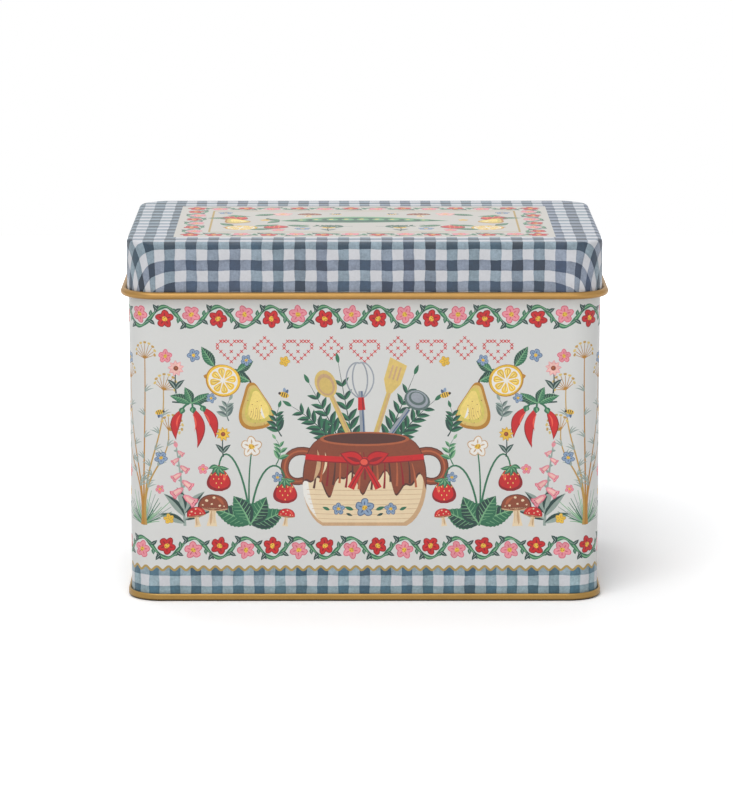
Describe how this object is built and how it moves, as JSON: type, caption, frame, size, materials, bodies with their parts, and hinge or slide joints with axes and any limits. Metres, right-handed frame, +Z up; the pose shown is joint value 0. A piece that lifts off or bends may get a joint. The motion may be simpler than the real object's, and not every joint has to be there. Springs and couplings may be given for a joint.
{
  "type": "recipe card box",
  "caption": "Hinged tinplate box with rounded corners and curled edges, for standing recipe cards behind tabbed dividers.",
  "frame": {"origin": "centre of the foot, on the surface that the box stands on", "axes": "+X along the width, to the right as seen from the front; +Y towards the hinge at the back; +Z up"},
  "size_m": [0.1676, 0.1076, 0.1254],
  "materials": {
    "printed_tin": "satin printed lacquer outside, gold lacquer inside",
    "gold_tin": "gold lacquer",
    "gingham_tin": "satin printed lacquer outside, gold lacquer inside and on the curl",
    "steel_wire": "drawn wire",
    "divider_board": "matte printed board",
    "card_stock": "matte card"
  },
  "bodies": {
    "box": {"body_wall": "printed_tin", "base_panel": "gold_tin", "divider_01": "divider_board", "divider_02": "divider_board", "divider_03": "divider_board", "divider_04": "divider_board", "divider_05": "divider_board", "divider_06": "divider_board", "divider_07": "divider_board", "divider_08": "divider_board", "recipe_cards_01": "card_stock", "recipe_cards_02": "card_stock", "recipe_cards_03": "card_stock", "recipe_cards_04": "card_stock", "recipe_cards_05": "card_stock", "recipe_cards_06": "card_stock", "recipe_cards_07": "card_stock", "recipe_cards_08": "card_stock"},
    "lid": {"lid": "gingham_tin", "hinge_pin_left": "steel_wire", "hinge_pin_right": "steel_wire"}
  },
  "joints": [
    {"name": "lid_hinge", "type": "hinge", "parent": "box", "child": "lid", "pos_m": [0, 0.05255, 0.10715], "axis": [-1, 0, 0], "range_deg": [0, 105]}
  ]
}
